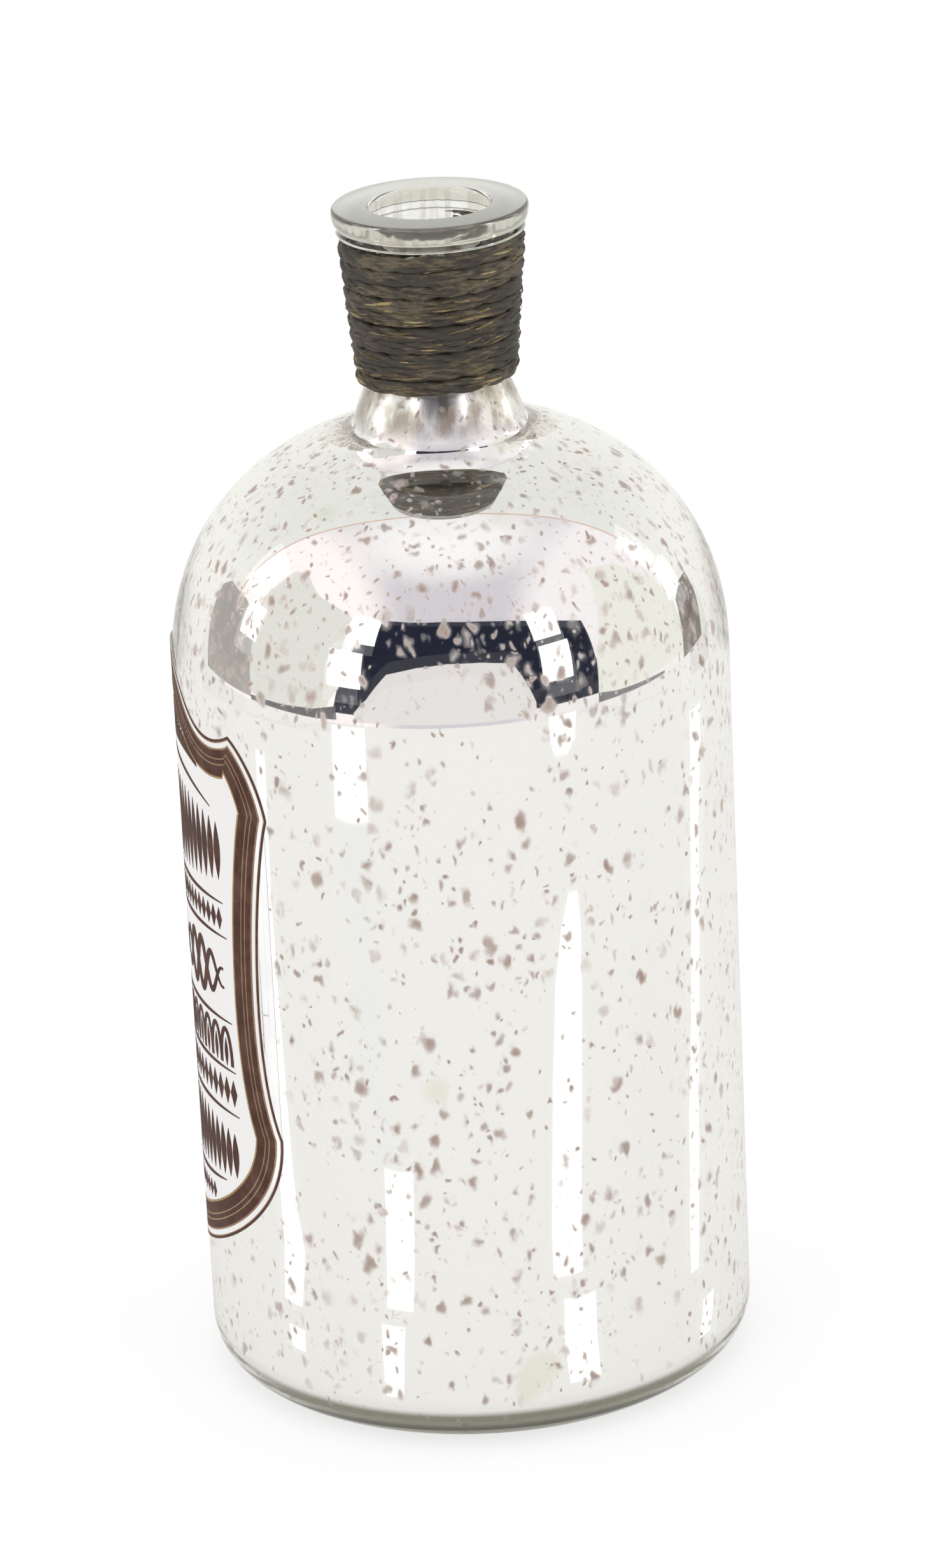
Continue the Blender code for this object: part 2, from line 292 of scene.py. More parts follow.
def neck_blend(shoulder_points, lead_length, waist_radius, handle_reach):
    """Hollow curve from the shoulder's inner end up to the neck's waist."""
    start = Vector(shoulder_points[-1])
    lead = (start - Vector(shoulder_points[-2])).normalized() * lead_length
    end = Vector((waist_radius, WAIST_HEIGHT))
    handle = end + Vector((handle_reach[0], -handle_reach[1]))
    return bezier((start, start + lead, handle, end), BLEND_STEPS)[1:]


SHOULDER = shoulder(BODY_RADIUS, SHOULDER_RISE, SHOULDER_POWER, NECK_JOIN_RADIUS)
NECK_ROOT = neck_blend(SHOULDER, NECK_BLEND_LEAD, WAIST_RADIUS, NECK_BLEND_HANDLE)


def around(angle, radius, height):
    """Point at an angle round the bottle's axis."""
    return Vector((radius * math.cos(angle), radius * math.sin(angle), height))


def wall(radius, low, high):
    return [(radius, low + (high - low) * share) for share in steps(WALL_STEPS)][1:-1]


def outside_profile():
    """Glass outside, from the middle of the underside to the inner edge of the rim's top face."""
    foot_radius = BODY_RADIUS - HEEL_RADIUS
    bead_height = RIM_HEIGHT - LIP_EDGE_ROUND
    underside = arc((0.0, 0.0), (foot_radius - FOOT_RING_WIDTH, PUSH_UP_RISE), 90.0, 0.0)
    heel = arc((foot_radius, HEEL_RADIUS), (HEEL_RADIUS, HEEL_RADIUS), -90.0, 0.0)
    collar_centre = (COLLAR_RADIUS - COLLAR_ROUND, LEDGE_HEIGHT + COLLAR_ROUND)
    collar = arc(collar_centre, (COLLAR_ROUND, COLLAR_ROUND), -90.0, 0.0, 4)
    bead_reach = (LIP_RADIUS - NOTCH_RADIUS, bead_height - NOTCH_HEIGHT)
    bead = arc((NOTCH_RADIUS, bead_height), bead_reach, -90.0, 0.0)
    edge = arc((LIP_RADIUS - LIP_EDGE_ROUND, bead_height), (LIP_EDGE_ROUND, LIP_EDGE_ROUND), 0.0, 90.0)
    body = wall(BODY_RADIUS, HEEL_RADIUS, WALL_HEIGHT) + SHOULDER + NECK_ROOT
    return underside + heel + body + [(NECK_TOP_RADIUS, LEDGE_HEIGHT)] + collar + bead + edge[1:]


def cavity_profile():
    """Inner wall, from the neck's waist down to the middle of the floor."""
    inner_radius = BODY_RADIUS - GLASS_WALL
    floor_radius = inner_radius - INNER_HEEL_RADIUS
    heel_height = BASE_THICKNESS + INNER_HEEL_RADIUS
    body = shoulder(inner_radius, INNER_SHOULDER_RISE, INNER_SHOULDER_POWER, INNER_NECK_JOIN_RADIUS)
    body += neck_blend(body, INNER_BLEND_LEAD, BORE_RADIUS, INNER_BLEND_HANDLE)
    side = wall(inner_radius, WALL_HEIGHT, heel_height)
    heel = arc((floor_radius, heel_height), (INNER_HEEL_RADIUS, INNER_HEEL_RADIUS), 0.0, -90.0)
    floor = arc((0.0, BASE_THICKNESS), (floor_radius, PUSH_UP_RISE), 0.0, 90.0)
    return list(reversed(body)) + side + heel + floor[1:]


def inside_profile():
    bore_edge = arc((BORE_RADIUS + BORE_EDGE_ROUND, RIM_HEIGHT - BORE_EDGE_ROUND),
                    (BORE_EDGE_ROUND, BORE_EDGE_ROUND), 90.0, 180.0)
    return bore_edge + cavity_profile()


def moved(profile, distance):
    """The same line moved to its right by a distance, square to each stretch of it."""
    result = []
    last = len(profile) - 1
    for index, point in enumerate(profile):
        normals = []
        for first, second in ((index - 1, index), (index, index + 1)):
            if first >= 0 and second <= last:
                run = (Vector(profile[second]) - Vector(profile[first])).normalized()
                normals.append(Vector((run.y, -run.x)))
        normal = sum(normals, Vector((0.0, 0.0))).normalized()
        reach = distance / normal.dot(normals[0])
        result.append((max(0.0, point[0] + normal.x * reach), point[1] + normal.y * reach))
    return result


def blown(point):
    """A point of the glass pushed in a little, in long waves and short ripples."""
    flat = Vector((point.x, point.y, 0.0))
    if flat.length < BORE_RADIUS:
        return point
    wave = noise.noise(point / WAVE_SIZE) * WAVE_DEPTH
    ripple = noise.noise(point / RIPPLE_SIZE + RIPPLE_OFFSET) * RIPPLE_DEPTH
    inward = WAVE_DEPTH + RIPPLE_DEPTH + wave + ripple
    return point - flat.normalized() * inward / 2


def mesh_piece(name, verts, faces, materials, numbers=None):
    """New object, with the number of each face's material where it has several."""
    mesh = bpy.data.meshes.new(name)
    mesh.from_pydata([tuple(v) for v in verts], [], faces)
    for own_material in materials:
        mesh.materials.append(own_material)
    if numbers:
        mesh.polygons.foreach_set("material_index", numbers)
    mesh.shade_smooth()
    mesh.set_sharp_from_angle(angle=math.radians(SHARP_DEGREES))
    piece = bpy.data.objects.new(name, mesh)
    bpy.context.scene.collection.objects.link(piece)
    return piece


def turned(name, profile, materials, place=blown, material_of=lambda number: 0):
    """Mesh of revolution about Z from a line of (radius, height) points."""
    verts = []
    rings = []
    for radius, height in profile:
        count = ROUND_SEGMENTS if radius > 0.0 else 1
        rings.append([len(verts) + index for index in range(count)])
        for index in range(count):
            verts.append(place(around(math.tau * index / count, radius, height)))
    if profile[0][0] > 0.0:
        rings.append(rings[0])
    faces = []
    numbers = []
    for number, (low, high) in enumerate(zip(rings, rings[1:])):
        for index in range(ROUND_SEGMENTS):
            after = (index + 1) % ROUND_SEGMENTS
            if len(low) == 1:
                faces.append((low[0], high[after], high[index]))
            elif len(high) == 1:
                faces.append((low[index], low[after], high[0]))
            else:
                faces.append((low[index], low[after], high[after], high[index]))
            numbers.append(material_of(number))
    return mesh_piece(name, verts, faces, materials, numbers)


class Nodes:
    """Node tree of a new material or world, with short calls to add and link nodes."""

    def __init__(self, name, owners=bpy.data.materials):
        self.owner = owners.new(name)
        self.owner.use_nodes = True
        self.tree = self.owner.node_tree
        self.shader = self.tree.nodes.get("Principled BSDF")
        self.output = self.tree.nodes.get("Material Output") or self.tree.nodes["World Output"]

    def add(self, kind, inputs=None, **settings):
        node = self.tree.nodes.new("ShaderNode" + kind)
        for key, value in settings.items():
            setattr(node, key, value)
        for key, value in (inputs or {}).items():
            self.put(node.inputs[key], value)
        return node

    def put(self, socket, value):
        if isinstance(value, bpy.types.NodeSocket):
            self.tree.links.new(value, socket)
        elif socket.type == "RGBA":
            socket.default_value = (*value, 1.0)
        else:
            socket.default_value = value

    def set(self, **inputs):
        for key, value in inputs.items():
            self.put(self.shader.inputs[key.replace("_", " ")], value)

    def end(self, shader, socket="Surface"):
        self.put(self.output.inputs[socket], shader.outputs[0])

    def axes(self, vector):
        return self.add("SeparateXYZ", {0: vector}).outputs

    def math(self, operation, first, second=0.0, third=0.0):
        return self.add("Math", {0: first, 1: second, 2: third}, operation=operation).outputs[0]

    def times(self, first, second):
        return self.math("MULTIPLY", first, second)

    def place(self, scale=(1.0, 1.0, 1.0), turn_degrees=0.0):
        """Object coordinates, stretched and turned about Y."""
        source = self.add("TexCoord").outputs["Object"]
        turn = (0.0, math.radians(turn_degrees), 0.0)
        inputs = {"Vector": source, "Rotation": turn, "Scale": scale}
        return self.add("Mapping", inputs).outputs[0]

    def noise(self, vector, scale, detail=2.0, roughness=0.5, output="Fac"):
        inputs = {"Vector": vector, "Scale": scale, "Detail": detail, "Roughness": roughness}
        return self.add("TexNoise", inputs).outputs[output]

    def ramp(self, value, low, high, low_value=0.0, high_value=1.0):
        """Smooth step from low_value to high_value as value goes from low to high."""
        inputs = {"Value": value, "From Min": low, "From Max": high,
                  "To Min": low_value, "To Max": high_value}
        return self.add("MapRange", inputs, interpolation_type="SMOOTHSTEP").outputs[0]

    def mix(self, share, first, second):
        return self.add("Mix", {0: share, 6: first, 7: second}, data_type="RGBA").outputs[2]

    def bump(self, height, distance, strength):
        inputs = {"Height": height, "Distance": distance, "Strength": strength}
        self.put(self.shader.inputs["Normal"], self.add("Bump", inputs).outputs[0])


def bore_streaks(nodes, radius, height):
    """Rusty streaks that run down the bore and fade towards the rim."""
    streaks = nodes.ramp(nodes.noise(nodes.place((1.0, 1.0, 0.12)), 330.0, 3.0), 0.45, 0.60)
    bore = nodes.ramp(radius, *BORE_TINT_RADII, 1.0, 0.0)
    fade = nodes.ramp(height, FILM_TOP, RIM_HEIGHT, 1.0, 0.35)
    return nodes.times(streaks, nodes.times(bore, fade))


def clear_glass():
    """Faintly green glass, olive at the foot and greyer at the lip, whose ground top is matt."""
    nodes = Nodes("clear_glass")
    place = nodes.place()
    aside, back, height = nodes.axes(place)
    squares = [nodes.times(way, way) for way in (aside, back)]
    radius = nodes.math("SQRT", nodes.math("ADD", *squares))
    tint = nodes.mix(nodes.noise(place, 30.0), (0.99, 0.995, 0.985), (0.98, 0.99, 0.97))
    foot = nodes.ramp(height, *FOOT_TINT_HEIGHTS, 1.0, 0.0)
    tint = nodes.mix(foot, tint, (0.085, 0.085, 0.05))
    tint = nodes.mix(bore_streaks(nodes, radius, height), tint, (0.46, 0.36, 0.26))
    lip = nodes.times(nodes.ramp(height, *LIP_TINT_HEIGHTS), nodes.ramp(radius, *LIP_TINT_RADII))
    tint = nodes.mix(lip, tint, (0.62, 0.60, 0.52))
    ground = nodes.ramp(height, *GROUND_TOP_HEIGHTS)
    # Painted shade: the ground top is darker towards the camera and paler towards the back
    front = nodes.ramp(back, *GROUND_TOP_SHADE_DEPTHS, 1.0, 0.0)
    tint = nodes.mix(ground, tint, nodes.mix(front, (0.84, 0.84, 0.79), (0.60, 0.60, 0.55)))
    matt = nodes.math("MAXIMUM", ground, nodes.times(lip, 0.3))
    nodes.set(Base_Color=tint, Roughness=nodes.ramp(matt, 0.0, 1.0, 0.0, 0.5),
              Transmission_Weight=nodes.ramp(matt, 0.0, 1.0, 1.0, 0.36), IOR=1.5)
    depth = nodes.add("VolumeAbsorption", {"Color": (0.60, 0.66, 0.48), "Density": 6.0})
    nodes.end(depth, "Volume")
    return nodes.owner


def specks(nodes, place, crowd, scale, reach, share):
    """Soft specks, one in some of the cells of a scale: how dark each place is."""
    cells = nodes.add("TexVoronoi", {"Vector": place, "Scale": scale})
    chance, strength, _ = nodes.add("SeparateColor", {0: cells.outputs["Color"]}).outputs
    kept = nodes.times(crowd, share)
    size = nodes.math("SUBTRACT", 1.0, nodes.math("DIVIDE", chance, kept))
    radius = nodes.math("MULTIPLY_ADD", size, (1.0 - SPECK_SMALLEST) * reach, SPECK_SMALLEST * reach)
    spot = nodes.ramp(cells.outputs["Distance"], nodes.times(radius, SPECK_CORE),
                      nodes.times(radius, SPECK_RIM), 1.0, 0.0)
    spot = nodes.times(spot, nodes.math("GREATER_THAN", size, 0.0))
    edge = nodes.add("TexVoronoi", {"Vector": place, "Scale": scale}, feature="DISTANCE_TO_EDGE")
    spot = nodes.times(spot, nodes.ramp(edge.outputs["Distance"], 0.0, SPECK_EDGE_FADE))
    return nodes.times(spot, nodes.ramp(strength, 0.0, 1.0, SPECK_PALEST, 1.0))


def mottle(nodes, place, height):
    """Specks of all kinds together, crowded in clouds and by height."""
    crowd = nodes.ramp(nodes.noise(place, 34.0), 0.36, 0.60, 0.42, 1.1)
    for row in HEIGHT_CROWDS:
        crowd = nodes.times(crowd, nodes.ramp(height, *row))
    bend = nodes.noise(place, SPECK_BEND_SCALE, SPECK_BEND_DETAIL, output="Color")
    bent = nodes.add("VectorMath", {0: bend, 1: (SPECK_BEND,) * 3, 2: place},
                     operation="MULTIPLY_ADD")
    spots = 0.0
    for kind in SPECK_KINDS:
        spots = nodes.math("MAXIMUM", spots, specks(nodes, bent.outputs[0], crowd, *kind))
    return spots


def mottled_silver():
    """Mirror film with dense, soft-edged specks where the silver has gone matt brown."""
    nodes = Nodes("mottled_silver")
    place = nodes.place(SPECK_STRETCH, SPECK_SLANT_DEGREES)
    height = nodes.axes(nodes.place())[2]
    spots = mottle(nodes, place, height)
    tone = nodes.ramp(nodes.noise(place, 70.0), 0.38, 0.62)
    brown = nodes.mix(tone, (0.53, 0.36, 0.30), (0.58, 0.46, 0.40))
    blots = nodes.ramp(nodes.noise(nodes.place(), 38.0, 1.0), 0.72, 0.78)
    silver = nodes.mix(blots, (0.965, 0.955, 0.945), (0.88, 0.88, 0.80))
    streaks = nodes.ramp(nodes.noise(nodes.place((1.0, 1.0, 0.08)), 170.0, 3.0), 0.42, 0.60)
    streaked = nodes.mix(streaks, (0.46, 0.42, 0.36), (0.92, 0.90, 0.87))
    dull = nodes.ramp(height, *DULL_FILM_HEIGHTS)
    silver = nodes.mix(dull, silver, streaked)
    spot_roughness = nodes.ramp(spots, 0.2, 0.8, 0.02, 0.6)
    nodes.set(Base_Color=nodes.mix(spots, silver, brown), Metallic=nodes.math("SUBTRACT", 1.0, spots),
              Roughness=nodes.math("MAXIMUM", spot_roughness, nodes.times(dull, 0.22)))
    return nodes.owner


def film_back():
    """Inner face of the film: pale lacquer with rusty streaks."""
    nodes = Nodes("film_back")
    streaks = nodes.ramp(nodes.noise(nodes.place((1.0, 1.0, 0.4)), 110.0, 4.0, 0.6), 0.48, 0.66)
    nodes.set(Base_Color=nodes.mix(streaks, (0.80, 0.77, 0.71), (0.34, 0.25, 0.17)),
              Metallic=0.3, Roughness=nodes.ramp(streaks, 0.0, 1.0, 0.28, 0.6))
    return nodes.owner


def glass_shell():
    shell = turned("clear_bottle", outside_profile() + inside_profile(), [clear_glass()])
    # Light reaches the film and the twine through the glass
    shell.visible_shadow = False
    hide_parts("glass_bottle")
    return shell


def ragged(point):
    """A point of the film, waved with the glass and, near the film's top, up and down."""
    fade = max(0.0, (point.z - FILM_TOP + FILM_TOP_FADE) / FILM_TOP_FADE)
    rise = noise.noise(Vector((point.x, point.y, 0.0)) / FILM_TOP_WAVE_SIZE) * FILM_TOP_WAVE * fade
    return blown(point) + Vector((0.0, 0.0, rise))


def silver_film():
    line = [(BORE_RADIUS, FILM_TOP - FILM_TOP_FADE * share) for share in steps(FILM_TOP_STEPS)]
    line += cavity_profile()
    outer = moved(line, -FILM_SINK)
    profile = list(reversed(outer)) + moved(line, FILM_THICKNESS)
    film = turned("silver_film", profile, [mottled_silver(), film_back()], ragged,
                  lambda number: int(number >= len(outer) - 1))
    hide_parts("silver_lining")
    return film


def glass_radius(height):
    """Outside radius of the neck's root, and of the tapered neck above it."""
    for low, high in zip(NECK_ROOT, NECK_ROOT[1:]):
        if height <= high[1]:
            return low[0] + (high[0] - low[0]) * (height - low[1]) / (high[1] - low[1])
    return WAIST_RADIUS + (NECK_TOP_RADIUS - WAIST_RADIUS) * (height - WAIST_HEIGHT) / NECK_LENGTH


def twine_centre(turn, wander=0.0):
    """Angle, radius and height of the twine's middle, some turns on from the left side."""
    height = TWINE_LEFT_HEIGHT + TWINE_PITCH * turn + wander
    return math.pi + math.tau * turn, glass_radius(height) + TWINE_SEAT, height


def tube(path, radii, sides, squeeze=1.0):
    """Verts and faces of a round tube with closed ends along a path of points."""
    verts = []
    faces = []
    for index, (point, radius) in enumerate(zip(path, radii)):
        before = path[max(0, index - 1)]
        after = path[min(len(path) - 1, index + 1)]
        run = (after - before).normalized()
        outward = Vector((point.x, point.y, 0.0)).normalized()
        across = run.cross(outward).normalized()
        outward = across.cross(run)
        for side in range(sides):
            angle = math.tau * side / sides
            verts.append(point + outward * math.cos(angle) * radius * squeeze
                         + across * math.sin(angle) * radius)
    for ring in range(len(path) - 1):
        for side in range(sides):
            after = (side + 1) % sides
            faces.append((ring * sides + side, ring * sides + after,
                          (ring + 1) * sides + after, (ring + 1) * sides + side))
    faces.append(tuple(reversed(range(sides))))
    faces.append(tuple(len(verts) - sides + side for side in range(sides)))
    return verts, faces


def joined(name, parts, materials, part_numbers=None):
    """One mesh of several (verts, faces) parts, with a material number for each part."""
    verts = []
    faces = []
    numbers = []
    for part, (part_verts, part_faces) in enumerate(parts):
        base = len(verts)
        verts += part_verts
        faces += [tuple(base + corner for corner in face) for face in part_faces]
        numbers += [part_numbers[part] if part_numbers else 0] * len(part_faces)
    return mesh_piece(name, verts, faces, materials, numbers)


def twine_material(name):
    """Fibrous yarn, paler where fine fibres and broad patches of noise add up."""
    nodes = Nodes(name)
    dark, light, middle = TWINE_TONES[name]
    fibres = nodes.noise(nodes.place((1.0, 1.0, 6.0)), 260.0, 4.0, 0.7)
    patches = nodes.noise(nodes.place((1.0, 1.0, 1.6)), 75.0, 3.0)
    mixed = nodes.math("MULTIPLY_ADD", fibres, 0.55, nodes.times(patches, 0.45))
    glow = nodes.ramp(mixed, middle, middle + 0.10)
    nodes.set(Base_Color=nodes.mix(glow, dark, light), Roughness=nodes.ramp(fibres, 0.3, 0.7, 0.45, 0.8),
              Specular_IOR_Level=0.3)
    nodes.bump(fibres, 0.3 * MM, 0.9)
    return nodes.owner


def ply_point(ply, turn):
    """Middle of a ply, some turns on from the left side, as it twists round the twine's path."""
    wander = noise.noise(Vector((turn * TWINE_WANDER_RATE, 0.0, 4.0))) * TWINE_WANDER
    angle, radius, height = twine_centre(turn, wander)
    twist = math.tau * (radius * math.tau * turn / TWINE_LAY + ply / TWINE_PLIES)
    twist += noise.noise(Vector((turn * TWIST_WANDER_RATE, ply * 3.0, 1.0))) * TWIST_WANDER
    radius += PLY_SPREAD_OUT * math.sin(twist)
    height += PLY_SPREAD_ALONG * math.cos(twist)
    return around(angle, radius, height)


def twine_plies():
    """Three plies twisted in a long lay, swelling here and there and tapered at both ends."""
    first, last = TWINE_TURNS
    count = round((last - first) * TWINE_STEPS_PER_TURN)
    plies = []
    for ply in range(TWINE_PLIES):
        path = []
        radii = []
        for share in steps(count):
            turn = first + (last - first) * share
            path.append(ply_point(ply, turn))
            end_taper = min(1.0, PLY_END_SHARE + PLY_END_SLOPE * min(share, 1.0 - share))
            uneven = noise.noise(Vector((turn * PLY_SWELL_RATE, ply * 7.0, 2.0)))
            radii.append(PLY_RADIUS * end_taper * (1.0 + PLY_SWELL * uneven))
        plies.append(tube(path, radii, PLY_SIDES))
    return plies


def loose_fibre(chance, tuft):
    """Thin fibre lying along the twine, where its strand has frayed."""
    turn = chance.uniform(*TWINE_TURNS)
    while chance.random() > tuft(turn):
        turn = chance.uniform(*TWINE_TURNS)
    spread = chance.uniform(-FIBRE_SPREAD, FIBRE_SPREAD)
    length = chance.uniform(*FIBRE_LENGTHS)
    slant = chance.uniform(*FIBRE_SLANTS)
    thickness = chance.uniform(*FIBRE_RADII)
    path = []
    radii = []
    for share in steps(FIBRE_STEPS):
        angle, radius, height = twine_centre(turn)
        along = (share - 0.5) * length
        across = spread + slant * along
        crown = math.sqrt(max(0.0, 1.0 - (across / FIBRE_CROWN) ** 2))
        radius += FIBRE_LIFT - TWINE_SEAT + (TWINE_SEAT + PLY_RADIUS) * crown
        angle += along / radius
        path.append(around(angle, radius, height + across))
        radii.append(thickness * swell(share, 0.25, 0.03))
    return tube(path, radii, FIBRE_SIDES, FIBRE_FLATNESS)


def gold_patches(turn):
    """How many golden fibres there are along the twine: they come in patches."""
    angle = math.pi + math.tau * turn
    place = Vector((math.cos(angle) * 1.7, math.sin(angle) * 1.7, TWINE_PITCH * turn / (8.0 * MM)))
    return max(0.02, 0.30 + 1.5 * noise.noise(place))


def neck_twine():
    cord = joined("twine_plies", twine_plies(), [twine_material("dark_twine")])
    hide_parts("neck_twine")
    chance = random.Random(11)
    dark = [loose_fibre(chance, lambda turn: 1.0) for _ in range(DARK_FIBRES)]
    gold = [loose_fibre(chance, gold_patches) for _ in range(GOLD_FIBRES)]
    kinds = [0] * DARK_FIBRES + [chance.choice((1, 1, 2)) for _ in gold]
    materials = [twine_material(name) for name in ("dark_fibre", "tan_fibre", "gold_fibre")]
    fibres = joined("twine_fibres", dark + gold, materials, kinds)
    return [cord, fibres]


def on_label(across, up, lift):
    """Point of the wall on the label's side: across and up in metres, lifted off the glass."""
    return around(math.pi - across / BODY_RADIUS, BODY_RADIUS + lift, up)


def label_outline():
    """Closed edge of the label laid flat, clockwise from the middle of its crown."""
    right = []
    for shares in LABEL_CURVE_SHARES:
        right += [(across * LABEL_WIDTH / 2, LABEL_BOTTOM + up * LABEL_HEIGHT)
                  for across, up in bezier(shares, LABEL_CURVE_STEPS)[:-1]]
    foot = [(0.0, LABEL_BOTTOM)]
    left = [(-across, up) for across, up in reversed(right[1:])]
    return right + foot + left


def inset(outline, distance):
    """Closed clockwise outline drawn in by a distance, with the folds at its corners closed up."""
    points = []
    count = len(outline)
    for index, point in enumerate(outline):
        before = Vector(point) - Vector(outline[index - 1])
        after = Vector(outline[(index + 1) % count]) - Vector(point)
        normals = [Vector((run.y, -run.x)).normalized() for run in (before, after)]
        normal = (normals[0] + normals[1]).normalized()
        points.append(Vector(point) + normal * distance / normal.dot(normals[0]))
    for _ in range(LABEL_CURVE_STEPS):
        for index in range(count):
            after = (index + 1) % count
            run = Vector(outline[after]) - Vector(outline[index])
            if run.dot(points[after] - points[index]) < 0.0:
                points[index] = points[after] = (points[index] + points[after]) / 2
    return [tuple(point) for point in points]


def band(outer, inner, top):
    """Verts and faces of a closed band between two outlines, printed on the film up to a lift."""
    verts = []
    faces = []
    count = len(outer)
    for outline, lift in ((outer, LABEL_LIFT), (outer, top), (inner, top), (inner, LABEL_LIFT)):
        verts += [on_label(across, up, lift) for across, up in outline]
    for layer in range(4):
        for index in range(count):
            after = (index + 1) % count
            following = (layer + 1) % 4
            faces.append((layer * count + index, following * count + index,
                          following * count + after, layer * count + after))
    return verts, faces


def patch(outline):
    """Verts and faces of a filled print, a fan about its middle, from an outline in millimetres."""
    outline = [(across * MM, up * MM) for across, up in outline]
    count = len(outline)
    middle = (sum(p[0] for p in outline) / count, sum(p[1] for p in outline) / count)
    verts = []
    faces = []
    for lift in (LABEL_LIFT, PRINT_LIFT):
        verts += [on_label(across, up, lift) for across, up in outline]
    verts += [on_label(*middle, LABEL_LIFT), on_label(*middle, PRINT_LIFT)]
    for index in range(count):
        after = (index + 1) % count
        faces.append((index, after, count + after, count + index))
        faces.append((count + index, count + after, 2 * count + 1))
        faces.append((after, index, 2 * count))
    return verts, faces


def ribbon(points, widths):
    """Verts and faces of a printed line, from its points and widths in millimetres."""
    verts = []
    faces = []
    for index, (point, width) in enumerate(zip(points, widths)):
        run = Vector(points[min(len(points) - 1, index + 1)]) - Vector(points[max(0, index - 1)])
        side = Vector((run.y, -run.x)).normalized() * width / 2
        left = (Vector(point) - side) * MM
        right = (Vector(point) + side) * MM
        verts += [on_label(*left, lift) for lift in (LABEL_LIFT, PRINT_LIFT)]
        verts += [on_label(*right, lift) for lift in (PRINT_LIFT, LABEL_LIFT)]
    for first in range(0, len(verts) - 4, 4):
        for corner in range(4):
            after = (corner + 1) % 4
            faces.append((first + corner, first + 4 + corner, first + 4 + after, first + after))
    faces.append((0, 1, 2, 3))
    last = len(verts) - 4
    faces.append((last + 3, last + 2, last + 1, last))
    return verts, faces


def lens(across, up, width, height, lean_degrees=0.0):
    """Outline of a pointed leaf about a middle."""
    points = []
    for side in (1, -1):
        for share in steps(LEAF_STEPS)[:-1]:
            along = (share - 0.5) * side
            bulge = math.cos(math.pi * along) * side
            points.append((bulge * width / 2, along * height))
    turn = Matrix.Rotation(math.radians(lean_degrees), 2)
    return [tuple(Vector((across, up)) + turn @ Vector(point)) for point in points]


def row(half_width, spacing, outline_at):
    """Filled shapes at an even spacing across the label."""
    count = int(half_width / spacing)
    return [patch(outline_at(index * spacing)) for index in range(-count, count + 1)]


def flutes(up, height, half_width, spacing=3.7, width=3.3):
    """Row of upright leaves, shorter outward."""
    return row(half_width, spacing, lambda across: lens(
        across, up, width, height * (1.0 - 0.35 * (across / half_width) ** 2)))


def lozenges(up, half_width, spacing, width, height, arch=0.0):
    """Row of diamonds along an arch."""
    def diamond(across):
        middle = up - arch * (across / half_width) ** 2
        return [(across - width / 2, middle), (across, middle - height / 2),
                (across + width / 2, middle), (across, middle + height / 2)]

    return row(half_width, spacing, diamond)


def rule(up, half_width, arch=0.0, width=RULE_MM):
    """Line along an arch, thinner outward, drawn from the label's middle to both sides."""
    shapes = []
    for side in (1, -1):
        points = [(side * half_width * share, up - arch * share ** 2) for share in steps(RULE_STEPS)]
        shapes.append(ribbon(points, [width * (1.0 - 0.8 * share ** 3) for share in steps(RULE_STEPS)]))
    return shapes


def waves(up, start, end, size, width):
    """Two waved lines that swell midway and cross, on both sides of the label's middle."""
    shapes = []
    widths = [width * swell(share, 0.25, 0.02) for share in steps(WAVE_STEPS)]
    for flip in (1.0, -1.0):
        for side in (1, -1):
            points = []
            for share in steps(WAVE_STEPS):
                swing = math.tau * WAVE_PERIODS * share
                rise = flip * size * swell(share, 0.35) * math.cos(swing)
                points.append((side * (start + (end - start) * share), up + rise))
            shapes.append(ribbon(points, widths))
    return shapes


def sprig(up, half_width, leaves, size, arch):
    """A leafy stem along an arch, the leaves in pairs and smaller outward."""
    shapes = rule(up, half_width, arch, STEM_MM)
    for index in range(1, leaves + 1):
        share = index / (leaves + 1)
        length = size * (1.0 - 0.5 * share)
        for side in (1, -1):
            across = side * half_width * share + side * length * 0.3
            for lift_side in (1, -1):
                lean = side * -(90.0 - lift_side * 38.0)
                middle = up - arch * share ** 2 + lift_side * length * 0.36
                shapes.append(patch(lens(across, middle, length * 0.34, length, lean)))
    return shapes


def arcade(up, half_width, spacing, rise, width):
    """Row of round arches, each with a leaf in it."""
    count = int(half_width / spacing)
    shapes = []
    for index in range(-count, count):
        centre = (index + 0.5) * spacing
        points = arc((centre, up), (spacing / 2, rise), 180.0, 0.0, ARCH_STEPS)
        shapes.append(ribbon(points, [width] * len(points)))
        shapes.append(patch(lens(centre, up + rise * 0.35, spacing * 0.3, rise * 0.8)))
    return shapes


def label_ornament():
    """Generic rows of ornament from the crown down: the height of each, then its sizes, in millimetres."""
    shapes = sprig(193.0, 30.0, 12, 9.0, 5.0)
    shapes += rule(183.5, 38.0, 7.0)
    shapes += flutes(164.5, 25.0, 42.0)
    shapes += rule(149.5, 42.0)
    shapes += lozenges(144.5, 41.0, 3.3, 3.0, 6.5)
    shapes += rule(139.5, 43.0)
    shapes += waves(127.0, 4.0, 40.0, 7.5, 2.6)
    shapes += [patch(lens(0.0, 127.0, 6.0, 17.0))]
    shapes += rule(114.5, 43.0)
    shapes += arcade(101.5, 42.0, 6.0, 10.5, 1.5)
    shapes += rule(100.0, 43.5)
    shapes += lozenges(93.5, 42.0, 3.8, 3.4, 8.0)
    shapes += rule(87.0, 44.0)
    shapes += flutes(74.5, 20.0, 42.0)
    shapes += rule(62.0, 34.0, -3.0)
    shapes += lozenges(56.5, 26.0, 3.4, 3.0, 5.0, -2.0)
    return shapes


